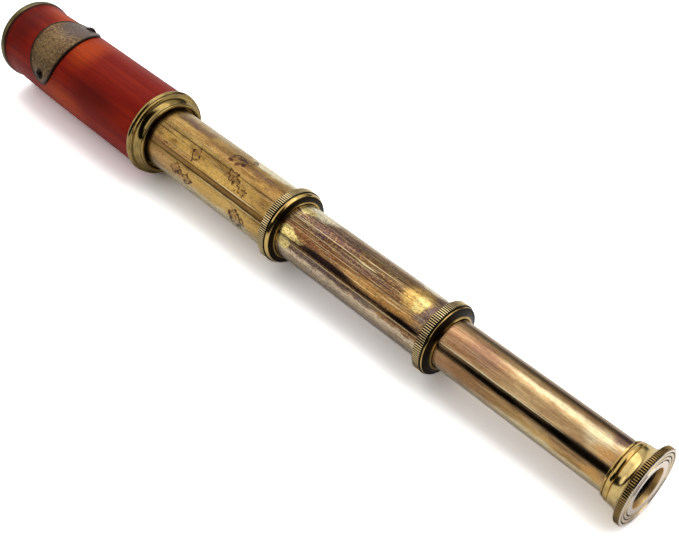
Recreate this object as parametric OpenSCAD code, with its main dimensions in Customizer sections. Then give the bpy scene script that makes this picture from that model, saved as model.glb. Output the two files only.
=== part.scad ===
// Three-draw spyglass with a wood-covered barrel, drawn out to its full length.
// The optical axis is +X, the eye end points to +X and +Z is up.
// The origin is on the axis, in the plane of the objective's front rim.

/* [Barrel] */
// Length of the barrel, from the front rim to the lip of the ferrule
barrel_length = 123.5; // [120:0.5:170]
// Outer radius of the brass tube inside the wood
main_tube_r = 17.7; // [17.5:0.05:18.2]
// Wall of the brass tube inside the wood
main_tube_wall = 0.8; // [0.6:0.05:0.9]
// Height of the wood above the brass tube where it is straight
wood_height = 3.1; // [2.4:0.1:4]
// Depth of the wood's waist below its straight part, just behind the front rim
wood_waist_depth = 0.6; // [0.2:0.1:1]
// Height of the wood's flare above its straight part, at the front rim
wood_flare_height = 0.15; // [0:0.05:0.4]
// Length of the flare, from the front rim to the waist
wood_flare_length = 6.5; // [4:0.5:9]
// Distance from the front rim to where the wood becomes straight
wood_swell_length = 41; // [30:1:50]

/* [Objective] */
// Height of the front rim above the flared wood
rim_height = 0.25; // [0.1:0.05:1]
// Width of the front rim along the axis
rim_width = 3; // [2:0.1:5]
// Width of the straight band on the rim that a cap slides over
rim_band_width = 2.4; // [1.5:0.1:2.6]
// Width of the rim's flat front face, across the radius
rim_face = 3.6; // [2:0.1:4.4]
// Length of the screwed spigot behind the rim
spigot_length = 10; // [8:0.5:14]
// Space across the radius from the objective lenses to the bore of the brass tube
cell_space = 1.7; // [1.2:0.1:3]
// Lip of the cell that holds the lens edge, across the radius
cell_lip = 0.6; // [0.4:0.1:1]
// Thickness of the cell lip along the axis
cell_lip_depth = 0.7; // [0.5:0.1:1]
// Radius of curvature of the crown lens on both faces, and of the flint's front
crown_curve_r = 115; // [90:1:200]
// Edge thickness of the crown lens
crown_edge = 2.2; // [1.6:0.1:3]
// Air space between crown and flint
lens_air_gap = 0.3; // [0.2:0.05:0.5]
// Edge thickness of the flint lens
flint_edge = 2.8; // [2.2:0.1:3.2]
// Width across the radius of the thin ring between the two lenses
spacer_width = 0.8; // [0.5:0.1:1.5]
// Thickness of the ring that holds the lenses in their cell
objective_ring_width = 2; // [1.5:0.1:2.5]
// Width across the radius of the ring that holds the lenses in their cell
objective_ring_wall = 1.6; // [1:0.1:2.5]

/* [Ferrule] */
// Height of the ferrule's rear bead above the wood
ferrule_height = 1.2; // [1:0.1:3]
// Length of the ferrule along the axis
ferrule_length = 8.5; // [8:0.1:12]
// Radius of the bead's round section
ferrule_bead_r = 1.3; // [1:0.1:1.5]
// Wall of the ferrule at its front lip
ferrule_lip_wall = 1.9; // [1.6:0.05:2.4]
// Distance from the ferrule's lip back to the shoulder that the brass tube meets
ferrule_shoulder = 5; // [4:0.5:6]
// Step from the bore of the brass tube down to the ferrule's mouth
ferrule_mouth_step = 0.5; // [0.15:0.05:0.8]
// Length of the bush that guides the first draw
barrel_bush_length = 10; // [6:0.5:14]

/* [Plate] */
// Distance from the front rim to the middle of the bare plate
plate_x = 38; // [34:0.1:44]
// Width of the plate along the barrel, at its middle
plate_width = 25.6; // [18:0.1:27]
// Half of the angle that the plate wraps round the barrel, in degrees
plate_half_angle = 72; // [60:1:75]
// Angle of the plate's middle, from the top towards the viewer's side, in degrees
plate_turn = 18; // [-30:1:40]
// Thickness of the plate
plate_thickness = 0.7; // [0.5:0.1:1]
// Angle from the plate's middle to each screw, in degrees
screw_angle = 58; // [50:1:60]
// Radius of a screw's round head
screw_head_r = 2.8; // [1.6:0.1:3]
// Height of a screw's round head
screw_head_height = 1.4; // [0.8:0.1:1.6]
// Radius of a screw's shank
screw_shank_r = 0.9; // [0.7:0.1:1.1]
// Length of a screw's shank below the head
screw_shank_length = 2.4; // [1.6:0.1:2.6]

/* [Draws] */
// Space across the radius from the brass tube's bore to the first draw
draw_1_space = 1.5; // [1.2:0.1:2]
// Space across the radius from the first draw's bore to the second draw
draw_2_space = 1.4; // [1:0.1:2]
// Space across the radius from the second draw's bore to the third draw
draw_3_space = 1.2; // [1:0.1:1.6]
// Wall of each draw tube
draw_wall = 0.7; // [0.6:0.05:0.8]
// Length of the first draw that shows when it is out
draw_1_show = 84.5; // [60:0.5:88]
// Length of the second draw that shows when it is out
draw_2_show = 85.7; // [60:0.5:88]
// Length of the third draw that shows when it is out
draw_3_show = 82.8; // [60:0.1:84]
// Length of each stop ring on the inner end of a draw
stop_ring_length = 5; // [4:0.5:8]
// Length of the lip that a draw tube butts against
butt_lip = 1; // [0.6:0.1:1.5]
// Length of each guide bush in the draws
draw_bush_length = 10; // [6:0.5:12]

/* [Collars] */
// Height of the first collar's knurled band above its draw
collar_1_height = 2.7; // [2.2:0.1:4]
// Height of the second collar's knurled band above its draw
collar_2_height = 3.3; // [2.2:0.1:4]
// Width of each knurled band
collar_band = 4.3; // [3:0.1:6]
// Length of the first collar's rounded nose
collar_1_nose = 2.7; // [2:0.1:4]
// Length of the second collar's bevelled nose
collar_2_nose = 2.4; // [2:0.1:4]
// Gap across the radius round a draw where it leaves a collar's mouth
mouth_gap = 0.3; // [0.2:0.05:1]
// Pitch of the straight knurling
knurl_pitch = 1; // [0.9:0.05:1.4]
// Depth of the straight knurling
knurl_depth = 0.3; // [0.2:0.05:0.4]

/* [Eyepiece] */
// Height of the eye cup's knurled flange above the third draw
flange_height = 5.7; // [5:0.1:7]
// Thickness of the eye cup's knurled flange
flange_width = 2.8; // [2.4:0.1:4]
// Length of the cup from the ring on the third draw to its face
eye_cup_length = 8.1; // [7.5:0.1:12]
// Height of the eye cup's neck above the third draw
neck_height = 1.8; // [0.2:0.1:2]
// Length of the eye cup's neck
neck_length = 0.6; // [0.2:0.1:2]
// Length of the eye cup's spigot inside the third draw
cup_spigot_length = 7; // [4:0.5:9]
// Height of the bead on the ring that ends the third draw
bead_height = 1.6; // [0.9:0.05:2]
// Length of the ring that ends the third draw
bead_ring_length = 3.8; // [3.6:0.1:5]
// Radius of the recess in the eye cup's face
recess_r = 9; // [8.4:0.1:9.6]
// Depth of the recess in the eye cup's face
recess_depth = 2.2; // [1.8:0.1:3]
// Radius of the hole that the eye looks through
eye_hole_r = 5.6; // [4.5:0.1:6]
// Thickness of the web round the eye hole
eye_web = 1; // [0.8:0.1:1.4]
// Width of the face between the recess and the first groove's middle
groove_inner_land = 3.2; // [1:0.1:3.6]
// Width of the face between the last groove's middle and the tips of the knurling
groove_outer_land = 1.6; // [1.4:0.1:2]
// Number of grooves in the face
groove_count = 3; // [2:1:4]
// Width of each groove
groove_width = 0.6; // [0.4:0.05:0.8]
// Depth of each groove
groove_depth = 0.5; // [0.3:0.05:0.7]
// Outer radius of the tube that holds the eye and field lenses
eye_tube_r = 8; // [7.8:0.05:8.3]
// Length of the tube that holds the eye and field lenses
eye_tube_length = 47; // [40:0.5:50]
// Clear radius of the stop between the eye and field lenses
field_stop_r = 5; // [4:0.1:6]

/* [Erector] */
// Length of the erecting lens tube in the third draw
erector_length = 50; // [40:0.5:52]
// Wall of both lens tubes at their seats
lens_tube_wall = 0.7; // [0.6:0.05:0.8]
// Height of the shoulder that a lens seats on
lens_shoulder = 0.6; // [0.4:0.05:0.7]
// Radius of curvature of the small lenses
small_lens_curve_r = 28; // [24:1:40]
// Edge thickness of the small lenses
small_lens_edge = 1.4; // [1.2:0.1:2]
// Width of the rings that hold the small lenses
lens_ring_width = 2; // [1.4:0.1:2.4]
// Clear radius of the stop between the erecting lenses
erector_stop_r = 2.5; // [2:0.1:4]
// Thickness of both stops
stop_width = 1; // [0.6:0.1:1.5]

/* [Fits] */
// Radial clearance of a draw in its bush, and of a stop ring in its tube
slide_gap = 0.06; // [0.03:0.01:0.1]
// Radial clearance of pieces that are screwed or pressed together
seat_gap = 0.04; // [0.02:0.01:0.06]
// Play along the axis between a stop ring and its bush, drawn out
stop_gap = 0.1; // [0.05:0.05:0.3]
// Gap that a collar keeps from the piece in front of it, pushed in
closed_gap = 0.5; // [0.2:0.1:1]

/* [Hidden] */

turn_fn = 128;
arc_steps = 6;
lens_steps = 8;
// A cut runs past the faces that it opens, and joined solids run into each other, by this much
past = 1;
// The ends of a knurled band are bevelled below the roots of its teeth
knurl_bevel = 0.45;
// Step from a knurled band down to the nose in front of it
nose_step = 0.1;
// Chamfer at the mouth of the ferrule and of each collar
mouth_chamfer = 0.2;

brass = [0.72, 0.56, 0.27];
dull_brass = [0.55, 0.43, 0.24];
wood = [0.56, 0.15, 0.08];
glass = [0.75, 0.85, 0.85, 0.5];
blackened = [0.12, 0.11, 0.1];

main_tube_in = main_tube_r-main_tube_wall;
wood_r = main_tube_r+wood_height;
wood_waist_r = wood_r-wood_waist_depth;
wood_flare_r = wood_r+wood_flare_height;
rim_r = wood_flare_r+rim_height;
rim_mouth_r = rim_r-rim_face;
objective_r = main_tube_in-cell_space;
ferrule_r = wood_r+ferrule_height;
ferrule_mouth_r = main_tube_in-ferrule_mouth_step;
ferrule_lip_r = ferrule_mouth_r+ferrule_lip_wall;
ferrule_x = barrel_length-ferrule_length;
// The brass tube ends at the shoulder inside the ferrule
main_tube_end = barrel_length-ferrule_shoulder;

// Each draw tube is as much smaller than the tube round it as its bush is thick
draw_1_r = main_tube_in-draw_1_space;
draw_2_r = draw_1_r-draw_wall-draw_2_space;
draw_3_r = draw_2_r-draw_wall-draw_3_space;
draw_r = [draw_1_r, draw_2_r, draw_3_r];
draw_in = [for (r = draw_r) r-draw_wall];
collar_1_r = draw_1_r+collar_1_height;
collar_2_r = draw_2_r+collar_2_height;
flange_r = draw_3_r+flange_height;
neck_r = draw_3_r+neck_height;
bead_r = draw_3_r+bead_height;
show = [draw_1_show, draw_2_show, draw_3_show];

// Each collar starts where the draw that carries it stops showing
collar_1_x = barrel_length+draw_1_show;
collar_1_end = collar_1_x+collar_band+collar_1_nose;
collar_2_x = collar_1_end+draw_2_show;
collar_2_end = collar_2_x+collar_band+collar_2_nose;
bead_ring_x = collar_2_end+draw_3_show;
eye_cup_x = bead_ring_x+bead_ring_length;
eye_face_x = eye_cup_x+eye_cup_length;

// Outer end of each draw tube, against the shoulder of what it carries
collar_shoulder = 2.5;
draw_end = [collar_1_end-collar_shoulder, collar_2_end-collar_shoulder, eye_cup_x];
// Outer end of the bush that each draw slides in
bush_end = [main_tube_end, draw_end[0], draw_end[1]];
bush_length = [barrel_bush_length, draw_bush_length, draw_bush_length];
// Outer face of each stop ring, short of its bush
stop_end = [for (i = [0:2]) bush_end[i]-bush_length[i]-stop_gap];
// Inner end of each draw tube
draw_start = [for (x = stop_end) x-stop_ring_length];
// Bore of the tube that each draw slides in
outer_in = [main_tube_in, draw_in[0], draw_in[1]];

// Travel of each draw, from drawn out to pushed in
travel = [for (s = show) s-closed_gap];
echo(length = eye_face_x, travel = travel);

// Height of a spherical face of radius curve, r out from its edge at edge_r
function sag(curve, r) = curve-sqrt(curve*curve-r*r);
function dome(curve, edge_r, r) = sag(curve, edge_r)-sag(curve, r);

// Points [station, radius] on an arc round [cx, cr], angles from the +X axis
function arc(cx, cr, r, from, to, steps = arc_steps) =
    [for (i = [0:steps]) let (a = from+(to-from)*i/steps) [cx+r*cos(a), cr+r*sin(a)]];

// Points of a lens face from the axis out to edge_r; side is +1 towards the eye
function face(x, curve, edge_r, side) =
    [for (i = [0:lens_steps]) let (r = edge_r*i/lens_steps) [x+side*dome(curve, edge_r, r), r]];

function reversed(points) = [for (i = [len(points)-1:-1:0]) points[i]];

// Solid of revolution round the optical axis from [station, radius] points
module turned(points) {
    rotate([0, 90, 0])
        rotate_extrude($fn = turn_fn)
            polygon([for (p = points) [p[1], p[0]]]);
}

module ring(x, length, r_out, r_in) {
    turned([[x, r_in], [x+length, r_in], [x+length, r_out], [x, r_out]]);
}

// Band of straight teeth, one for each pitch, with sharp tips at r and bevelled ends
module knurled_band(x, length, r, bore) {
    teeth = round(2*PI*r/knurl_pitch);
    half = 180/teeth;
    tip = r+knurl_depth;
    bevel = knurl_bevel+knurl_depth;
    intersection() {
        translate([x, 0, 0])
            rotate([0, 90, 0])
                linear_extrude(length)
                    polygon([for (i = [0:2*teeth-1])
                        let (p = i%2 == 0 ? r : r-knurl_depth)
                        [p*cos(i*half), p*sin(i*half)]]);
        turned([[x, bore], [x, r-knurl_bevel], [x+bevel, tip], [x+length-bevel, tip],
            [x+length, r-knurl_bevel], [x+length, bore]]);
    }
}

// Outer profile of the wood, the same for its sleeve and for the plate on it
wood_profile = concat(
    [for (i = [0:arc_steps]) let (t = i/arc_steps)
        [rim_width+wood_flare_length*t,
            wood_waist_r+(wood_flare_r-wood_waist_r)*pow(1-t, 2)]],
    [[rim_width+wood_swell_length, wood_r], [ferrule_x, wood_r]]);
wood_bore_r = main_tube_r+seat_gap;

// Radius of the wood's surface on its swelling part, at station x
function swell_r(x) =
    let (x0 = rim_width+wood_flare_length)
    let (x1 = rim_width+wood_swell_length)
    wood_waist_r+(wood_r-wood_waist_r)*min(1, (x-x0)/(x1-x0));

module wood_solid(grow) {
    turned(concat([[rim_width, 0]], [for (p = wood_profile) [p[0], p[1]+grow]],
        [[ferrule_x, 0]]));
}

// Turns a piece that stands on the +Z side round the axis, towards -Y
module at_angle(a) {
    rotate([a, 0, 0]) children();
}

screw_turns = [plate_turn-screw_angle, plate_turn+screw_angle];

module screw_holes() {
    for (a = screw_turns)
        at_angle(a)
            translate([plate_x, 0, main_tube_r])
                cylinder(h = wood_r, r = screw_shank_r+seat_gap, $fn = 24);
}

module main_tube() {
    color(brass) ring(rim_width, main_tube_end-rim_width, main_tube_r, main_tube_in);
}

module wood_sleeve() {
    color(wood)
        difference() {
            wood_solid(0);
            ring(rim_width-past, ferrule_x-rim_width+2*past, wood_bore_r, 0);
            screw_holes();
        }
}

spigot_r = main_tube_in-seat_gap;
cell_r = objective_r+seat_gap;
// The crown's front face bulges past its edge and touches the corner of the lip
crown_x = rim_width+cell_lip_depth+dome(crown_curve_r, objective_r, objective_r-cell_lip);
flint_x = crown_x+crown_edge+lens_air_gap;
objective_ring_x = flint_x+flint_edge;
spigot_end = rim_width+spigot_length;

module objective_bezel() {
    edge = rim_width-rim_band_width;
    color(dull_brass)
        turned(concat(
            [[0, rim_mouth_r], [0, rim_r]],
            arc(rim_band_width, rim_r-edge, edge, 90, 0),
            [[rim_width, spigot_r], [spigot_end, spigot_r], [spigot_end, cell_r],
                [rim_width+cell_lip_depth, cell_r],
                [rim_width+cell_lip_depth, objective_r-cell_lip],
                [rim_width, objective_r-cell_lip]]));
}

module crown_lens() {
    color(glass)
        turned(concat(
            face(crown_x, crown_curve_r, objective_r, -1),
            reversed(face(crown_x+crown_edge, crown_curve_r, objective_r, 1))));
}

// Thin ring shaped like the air space that it keeps open, with a little play
module lens_spacer() {
    play = 0.02;
    inner = objective_r-spacer_width;
    bulge = dome(crown_curve_r, objective_r, inner);
    front = crown_x+crown_edge+play;
    back = flint_x-play;
    color(blackened)
        turned([[front, objective_r], [front+bulge, inner], [back+bulge, inner],
            [back, objective_r]]);
}

module flint_lens() {
    color(glass)
        turned(concat(
            face(flint_x, crown_curve_r, objective_r, 1),
            [[flint_x+flint_edge, objective_r], [flint_x+flint_edge, 0]]));
}

// Threaded ring with two slots for a spanner
module objective_ring() {
    slot_width = 1.2;
    slot_depth = 0.8;
    color(blackened)
        difference() {
            ring(objective_ring_x, objective_ring_width, objective_r,
                objective_r-objective_ring_wall);
            translate([objective_ring_x+objective_ring_width-slot_depth,
                -slot_width/2, -objective_r-past])
                cube([slot_depth+past, slot_width, 2*(objective_r+past)]);
        }
}

module barrel_ferrule() {
    bead_x = ferrule_x+ferrule_bead_r;
    bead_middle_r = ferrule_r-ferrule_bead_r;
    bead_foot = 0.3;
    ridge_drop = 0.7;
    ridge_gap = 0.1;
    ridge_width = 1.1;
    ridge_x = bead_x+ferrule_bead_r+ridge_gap;
    ridge_r = ferrule_r-ridge_drop;
    lip_bead = 0.7;
    cove_drop = 0.4;
    cove_x = ridge_x+ridge_width;
    lip_x = barrel_length-2*lip_bead;
    lip_turn = 50;
    mouth_x = barrel_length-lip_bead+lip_bead*cos(lip_turn);
    color(dull_brass)
        turned(concat(
            [[ferrule_x, bead_middle_r+bead_foot]],
            arc(bead_x, bead_middle_r, ferrule_bead_r, 150, 35),
            [[ridge_x, ridge_r], [cove_x, ridge_r]],
            [for (i = [0:arc_steps]) let (a = 90*i/arc_steps)
                [cove_x+(lip_x-cove_x)*(1-cos(a)),
                    ferrule_lip_r-cove_drop+(ridge_r-ferrule_lip_r)*(1-sin(a))]],
            arc(barrel_length-lip_bead, ferrule_lip_r-lip_bead, lip_bead, 140, -lip_turn),
            [[mouth_x, ferrule_mouth_r+mouth_chamfer],
                [mouth_x-mouth_chamfer, ferrule_mouth_r],
                [main_tube_end, ferrule_mouth_r], [main_tube_end, wood_bore_r],
                [ferrule_x, wood_bore_r]]));
}

// Bush i guides draw i at the outer end of the tube round it
module guide_bush(i) {
    chamfer = 0.4;
    r_in = draw_r[i]+slide_gap;
    r_out = outer_in[i]-seat_gap;
    x0 = bush_end[i]-bush_length[i];
    x1 = bush_end[i];
    color(dull_brass)
        turned([[x0, r_in+chamfer], [x0+chamfer, r_in], [x1-chamfer, r_in],
            [x1, r_in+chamfer], [x1, r_out], [x0, r_out]]);
}

// Ring on the inner end of draw i, with a lip that the tube butts against
module stop_ring(i) {
    r_out = outer_in[i]-slide_gap;
    r_fit = draw_r[i]+seat_gap;
    x0 = draw_start[i]-butt_lip;
    chamfer = 0.5;
    color(dull_brass)
        turned([[x0, draw_in[i]], [draw_start[i], draw_in[i]], [draw_start[i], r_fit],
            [stop_end[i], r_fit], [stop_end[i], r_out], [x0+chamfer, r_out],
            [x0, r_out-chamfer]]);
}

module draw_tube(i) {
    color(brass) ring(draw_start[i], draw_end[i]-draw_start[i], draw_r[i], draw_in[i]);
}

// Plate's outline, an ellipse once it is bent, as seen from above its middle; x is along the
// barrel and y across it
function oval_half(u) = plate_width/2*sqrt(max(0, 1-u*u));

module oval() {
    steps = 20;
    across = (wood_r+plate_thickness)*sin(plate_half_angle);
    side = [for (i = [-steps:steps]) let (u = sin(90*i/steps))
        [oval_half(asin(u*sin(plate_half_angle))/plate_half_angle), across*u]];
    polygon(concat([for (p = side) [plate_x+p[0], p[1]]],
        [for (i = [len(side)-2:-1:1]) [plate_x-side[i][0], side[i][1]]]));
}

module barrel_plate() {
    color(dull_brass)
        difference() {
            intersection() {
                wood_solid(plate_thickness);
                at_angle(plate_turn) linear_extrude(2*wood_r) oval();
            }
            wood_solid(seat_gap);
            screw_holes();
        }
}

module plate_screws() {
    seat_r = swell_r(plate_x+screw_head_r)+plate_thickness;
    // Radius of the sphere whose cap is the head
    head_curve = (pow(screw_head_r, 2)+pow(screw_head_height, 2))/(2*screw_head_height);
    steps = 6;
    full = asin(screw_head_r/head_curve);
    color(dull_brass)
        for (a = screw_turns)
            at_angle(a)
                translate([plate_x, 0, seat_r])
                    rotate_extrude($fn = 32)
                        polygon(concat(
                            [[0, -screw_shank_length], [screw_shank_r, -screw_shank_length],
                                [screw_shank_r, 0]],
                            [for (i = [0:steps]) let (b = full*(1-i/steps))
                                [head_curve*sin(b),
                                    screw_head_height-head_curve*(1-cos(b))]]));
}

// Collar at station x, bored for the end of its draw tube, with its nose as points
module collar(x, r, bore, end, mouth_r, nose) {
    root_r = r-knurl_depth-knurl_bevel;
    band_end = x+collar_band;
    color(brass)
        union() {
            knurled_band(x, collar_band, r, bore);
            turned(concat(
                [[band_end-past, bore], [band_end-past, root_r], [band_end, root_r]],
                nose,
                [[end, mouth_r+mouth_chamfer], [end-mouth_chamfer, mouth_r],
                    [end-collar_shoulder, mouth_r], [end-collar_shoulder, bore]]));
        }
}

// Its nose is a rounded shoulder and then a shallow cone down to the mouth
module draw_1_collar() {
    shoulder_drop = 1.2;
    cone_depth = 0.8;
    x = collar_1_x+collar_band;
    nose_r = collar_1_r-knurl_bevel-nose_step;
    collar(collar_1_x, collar_1_r, draw_1_r+seat_gap, collar_1_end, draw_2_r+mouth_gap,
        [for (i = [0:arc_steps]) let (a = 80*i/arc_steps)
            [x+(collar_1_nose-cone_depth)*sin(a), nose_r-shoulder_drop*(1-cos(a))]]);
}

// Its nose is a straight step, a small bevel and then a cone down to the mouth
module draw_2_collar() {
    straight = 0.5;
    edge = 0.4;
    x = collar_2_x+collar_band;
    nose_r = collar_2_r-knurl_bevel-nose_step;
    collar(collar_2_x, collar_2_r, draw_2_r+seat_gap, collar_2_end, draw_3_r+mouth_gap,
        [[x, nose_r], [x+straight, nose_r], [x+straight+edge, nose_r-edge]]);
}

// Thin rim at the tube, a gap, and a rounded bead against the eye cup
module eyepiece_ring() {
    bore = draw_3_r+seat_gap;
    rim_length = 0.8;
    rim_drop = 0.6;
    chamfer = 0.2;
    bead_steps = 8;
    foot_r = bore+chamfer;
    thin_r = bead_r-rim_drop;
    half = (bead_ring_length-rim_length)/2;
    x = bead_ring_x;
    bead_x = x+rim_length+half;
    color(brass)
        turned(concat(
            [[x, bore], [x, thin_r-chamfer], [x+chamfer, thin_r],
                [x+rim_length-chamfer/2, thin_r], [x+rim_length, foot_r]],
            [for (i = [1:bead_steps-1]) let (a = 180*i/bead_steps)
                [bead_x-half*cos(a), foot_r+(bead_r-foot_r)*sin(a)]],
            [[eye_cup_x, foot_r], [eye_cup_x, bore]]));
}

flange_x = eye_face_x-flange_width;
cup_spigot_r = draw_in[2]-seat_gap;
cup_bore_r = eye_tube_r+seat_gap;
cup_spigot_x = eye_cup_x-cup_spigot_length;
recess_x = eye_face_x-recess_depth;
eye_tube_end = recess_x-eye_web;

groove_first_r = recess_r+groove_inner_land;
groove_step = (flange_r-groove_outer_land-groove_first_r)/(groove_count-1);

module eye_cup() {
    flare_steps = 10;
    flare_x = eye_cup_x+neck_length;
    flare_end_r = flange_r-past;
    color(brass)
        difference() {
            union() {
                knurled_band(flange_x, flange_width, flange_r, 0);
                turned(concat(
                    [[cup_spigot_x, 0], [cup_spigot_x, cup_spigot_r],
                        [eye_cup_x, cup_spigot_r], [eye_cup_x, neck_r], [flare_x, neck_r]],
                    [for (i = [1:flare_steps]) let (a = 90*i/flare_steps)
                        [flare_x+(flange_x-flare_x)*sin(a),
                            neck_r+(flare_end_r-neck_r)*(1-cos(a))]],
                    [[flange_x+flange_width/2, flare_end_r], [flange_x+flange_width/2, 0]]));
            }
            ring(cup_spigot_x-past, eye_tube_end-cup_spigot_x+past, cup_bore_r, 0);
            ring(eye_tube_end-past, eye_web+2*past, eye_hole_r, 0);
            ring(recess_x, recess_depth+past, recess_r, 0);
            for (i = [0:groove_count-1])
                ring(eye_face_x-groove_depth, groove_depth+past,
                    groove_first_r+i*groove_step+groove_width/2,
                    groove_first_r+i*groove_step-groove_width/2);
        }
}

// Two lenses in one tube, their curved sides facing, each on a shoulder and each
// held by a ring at the tube's end
function seat_r(r_out) = r_out-lens_tube_wall;
function mid_r(r_out) = seat_r(r_out)-lens_shoulder;
function lens_r(r_out) = seat_r(r_out)-seat_gap;
// How far a lens bulges where it meets the edge of its shoulder
function rise(r_out) = dome(small_lens_curve_r, lens_r(r_out), mid_r(r_out))+seat_gap;
function seat_depth(r_out) = lens_ring_width+small_lens_edge+rise(r_out);

module lens_tube(x, length, r_out) {
    seat = seat_r(r_out);
    mid = mid_r(r_out);
    depth = seat_depth(r_out);
    end = x+length;
    color(blackened)
        turned([[x, seat], [x+depth, seat], [x+depth, mid], [end-depth, mid],
            [end-depth, seat], [end, seat], [end, r_out], [x, r_out]]);
}

module front_lens(x, r_out) {
    flat = x+lens_ring_width;
    color(glass)
        turned(concat([[flat, 0], [flat, lens_r(r_out)]],
            reversed(face(flat+small_lens_edge, small_lens_curve_r, lens_r(r_out), 1))));
}

module rear_lens(end, r_out) {
    flat = end-lens_ring_width;
    color(glass)
        turned(concat(face(flat-small_lens_edge, small_lens_curve_r, lens_r(r_out), -1),
            [[flat, lens_r(r_out)], [flat, 0]]));
}

module lens_ring(x, r_out) {
    color(blackened) ring(x, lens_ring_width, lens_r(r_out), mid_r(r_out));
}

module stop(x, length, r_out, clear_r) {
    color(blackened)
        ring(x+(length-stop_width)/2, stop_width, mid_r(r_out)-seat_gap, clear_r);
}

eye_tube_x = eye_tube_end-eye_tube_length;
erector_r = draw_in[2]-seat_gap;
erector_x = draw_start[2]-butt_lip;
erector_end = erector_x+erector_length;

main_tube();
wood_sleeve();
objective_bezel();
crown_lens();
lens_spacer();
flint_lens();
objective_ring();
barrel_ferrule();
guide_bush(0);  // barrel_bush
barrel_plate();
plate_screws();
draw_tube(0);  // draw_1_tube
draw_1_collar();
stop_ring(0);  // draw_1_stop_ring
guide_bush(1);  // draw_1_bush
draw_tube(1);  // draw_2_tube
draw_2_collar();
stop_ring(1);  // draw_2_stop_ring
guide_bush(2);  // draw_2_bush
draw_tube(2);  // draw_3_tube
stop_ring(2);  // draw_3_stop_ring
lens_tube(erector_x, erector_length, erector_r);  // erector_tube
front_lens(erector_x, erector_r);  // erector_front_lens
lens_ring(erector_x, erector_r);  // erector_front_ring
stop(erector_x, erector_length, erector_r, erector_stop_r);  // erector_stop
rear_lens(erector_end, erector_r);  // erector_rear_lens
lens_ring(erector_end-lens_ring_width, erector_r);  // erector_rear_ring
eyepiece_ring();
eye_cup();
lens_tube(eye_tube_x, eye_tube_length, eye_tube_r);  // eye_tube
front_lens(eye_tube_x, eye_tube_r);  // field_lens
lens_ring(eye_tube_x, eye_tube_r);  // field_lens_ring
stop(eye_tube_x, eye_tube_length, eye_tube_r, field_stop_r);  // field_stop
rear_lens(eye_tube_end, eye_tube_r);  // eye_lens
lens_ring(eye_tube_end-lens_ring_width, eye_tube_r);  // eye_lens_ring
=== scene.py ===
from math import asin, atan2, cos, degrees, hypot, pi, radians, sin, sqrt

import bmesh
import bpy
from mathutils import Matrix, Vector


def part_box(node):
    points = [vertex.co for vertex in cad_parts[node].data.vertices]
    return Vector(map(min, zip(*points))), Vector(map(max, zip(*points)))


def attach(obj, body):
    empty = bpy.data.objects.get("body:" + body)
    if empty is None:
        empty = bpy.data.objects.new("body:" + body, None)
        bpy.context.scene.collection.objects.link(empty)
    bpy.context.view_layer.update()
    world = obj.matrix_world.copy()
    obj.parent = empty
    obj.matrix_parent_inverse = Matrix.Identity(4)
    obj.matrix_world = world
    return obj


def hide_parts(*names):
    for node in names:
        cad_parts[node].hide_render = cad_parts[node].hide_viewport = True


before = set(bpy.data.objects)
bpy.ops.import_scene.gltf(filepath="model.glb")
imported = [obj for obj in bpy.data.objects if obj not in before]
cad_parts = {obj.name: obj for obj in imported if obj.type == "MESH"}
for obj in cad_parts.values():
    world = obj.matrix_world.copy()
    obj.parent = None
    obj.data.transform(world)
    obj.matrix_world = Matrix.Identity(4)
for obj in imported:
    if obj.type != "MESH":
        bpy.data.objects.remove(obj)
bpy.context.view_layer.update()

# Lengths are in millimetres, as stations along the optical axis and radii round it.
# Angles round the axis are in degrees from straight up, and positive towards -Y.
MM = 0.001


# Sizes taken from the frame, with the few that its boxes can't give

def station(node):
    """Stations of a node's two ends."""
    low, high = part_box(node)
    return low.x / MM, high.x / MM


def radius(node):
    """Outer radius of a round node."""
    low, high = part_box(node)
    return max(high.y, high.z, -low.y, -low.z) / MM


BARREL_END = station("barrel_ferrule")[1]
TUBE_WALL = 0.8
DRAW_WALL = 0.7
SEAT_GAP = 0.04
TUBE_R = radius("main_tube")
TUBE_IN = TUBE_R - TUBE_WALL
DRAWS = ("draw_1", "draw_2", "draw_3")
DRAW_R = [radius(draw + "_tube") for draw in DRAWS]

PLATE_X = sum(station("barrel_plate")) / 2
PLATE_HALF_WIDTH = (station("barrel_plate")[1] - station("barrel_plate")[0]) / 2
PLATE_HALF_ANGLE = 72
PLATE_TURN = 18
PLATE_THICK = 0.7

WOOD_START, WOOD_END = station("wood_sleeve")

# Steps of a full turn on the smooth pieces, and of a quarter turn in an outline
TURN_STEPS = 256
ARC_STEPS = 12

# Edges that turn by more degrees than this are shown sharp
SHARP_ANGLE = 32


# Outlines

def sweep(start, end, steps):
    """Angles in radians, in even steps from one to another given in degrees."""
    return [radians(start + (end - start) * i / steps) for i in range(steps + 1)]


def arc(x, r, size, start, end, steps=ARC_STEPS):
    """Points [station, radius] on an arc round (x, r), with angles from the +X axis."""
    return [(x + size * cos(a), r + size * sin(a)) for a in sweep(start, end, steps)]


# Pieces

def meshed(name, bm):
    """Mesh of a bmesh, which is used up."""
    mesh = bpy.data.meshes.new(name)
    bm.to_mesh(mesh)
    bm.free()
    return mesh


def placed(name, data):
    """New object of a mesh, a light or a camera, in the scene."""
    made = bpy.data.objects.new(name, data)
    bpy.context.scene.collection.objects.link(made)
    return made


def finished(name, bm, body, slot, material, *nodes):
    """Makes a piece of a bmesh: its shading, its finish, its body, and hides the nodes that it
    stands for.
    """
    mesh = meshed(name, bm)
    mesh.shade_smooth()
    mesh.set_sharp_from_angle(angle=radians(SHARP_ANGLE))
    mesh.materials.append(material)
    piece = placed(name, mesh)
    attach(piece, body)
    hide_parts(*nodes)


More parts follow.
